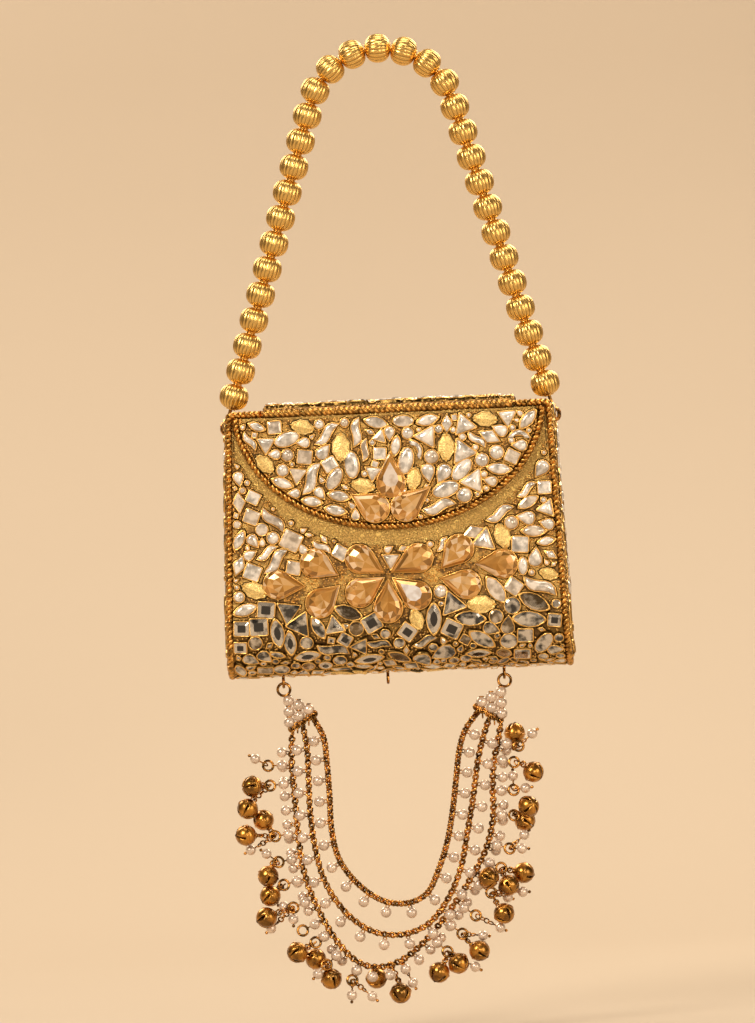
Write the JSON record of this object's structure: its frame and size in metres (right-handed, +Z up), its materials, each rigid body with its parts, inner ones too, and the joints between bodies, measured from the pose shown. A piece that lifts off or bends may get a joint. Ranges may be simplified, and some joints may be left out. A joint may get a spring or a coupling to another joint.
{
  "type": "embellished evening clutch",
  "caption": "Evening clutch: a metal case under a mosaic of stones, a rounded flap on the front top edge, a stiff handle of ribbed beads, and a festoon of chains with pearls and bells below.",
  "frame": {"origin": "centre line of the handle at its top, where the bag hangs", "axes": "+Z up, +X along the width to the bag's right as seen from the front, -Y is the front with the flap"},
  "size_m": [0.153, 0.0551, 0.4175],
  "materials": {
    "sheet_gold": "satin, lightly grained gold-plated sheet",
    "bead_gold": "polished antique gold with dark grooves",
    "rope_gold": "polished twisted wire",
    "chain_gold": "antique gold",
    "mosaic": "polished stones, mirrors and pearls in gold bezels",
    "pearl": "cream pearl lustre",
    "magnet_steel": "plated steel",
    "lining_cloth": "dark brown woven cloth"
  },
  "bodies": {
    "handle": {"handle_wire": "chain_gold", "bead_01": "bead_gold", "bead_02": "bead_gold", "bead_03": "bead_gold", "bead_04": "bead_gold", "bead_05": "bead_gold", "bead_06": "bead_gold", "bead_07": "bead_gold", "bead_08": "bead_gold", "bead_09": "bead_gold", "bead_10": "bead_gold", "bead_11": "bead_gold", "bead_12": "bead_gold", "bead_13": "bead_gold", "bead_14": "bead_gold", "bead_15": "bead_gold", "bead_16": "bead_gold", "bead_17": "bead_gold", "bead_18": "bead_gold", "bead_19": "bead_gold", "bead_20": "bead_gold", "bead_21": "bead_gold", "bead_22": "bead_gold", "bead_23": "bead_gold", "bead_24": "bead_gold", "bead_25": "bead_gold", "bead_26": "bead_gold", "bead_27": "bead_gold", "bead_28": "bead_gold", "bead_29": "bead_gold", "bead_30": "bead_gold", "bead_31": "bead_gold"},
    "case": {"case_wrap": "sheet_gold", "lining": "lining_cloth", "case_mosaic": "mosaic", "top_mosaic": "mosaic", "hinge_pin": "rope_gold", "front_magnet": "magnet_steel", "left_end_plate": "sheet_gold", "right_end_plate": "sheet_gold", "left_end_mosaic": "mosaic", "right_end_mosaic": "mosaic", "left_edge_rope": "rope_gold", "right_edge_rope": "rope_gold", "left_handle_staple": "chain_gold", "right_handle_staple": "chain_gold", "left_festoon_eyelet": "chain_gold", "right_festoon_eyelet": "chain_gold", "middle_eyelet": "chain_gold"},
    "flap": {"flap_plate": "sheet_gold", "flap_mosaic": "mosaic", "flap_rope": "rope_gold", "flap_magnet": "magnet_steel"},
    "festoon": {"left_end_cluster": "pearl", "right_end_cluster": "pearl", "inner_chain": "chain_gold", "middle_chain": "chain_gold", "outer_chain": "chain_gold"}
  },
  "joints": [
    {"name": "bag_swing", "type": "hinge", "parent": "handle", "child": "case", "pos_m": [0, 0, -0.164], "axis": [1, 0, 0], "range_deg": [-25, 25]},
    {"name": "flap_open", "type": "hinge", "parent": "case", "child": "flap", "pos_m": [0, -0.0253, -0.1612], "axis": [-1, 0, 0], "range_deg": [0, 150]},
    {"name": "festoon_swing", "type": "hinge", "parent": "case", "child": "festoon", "pos_m": [0, 0, -0.2813], "axis": [1, 0, 0], "range_deg": [-75, 75]}
  ]
}
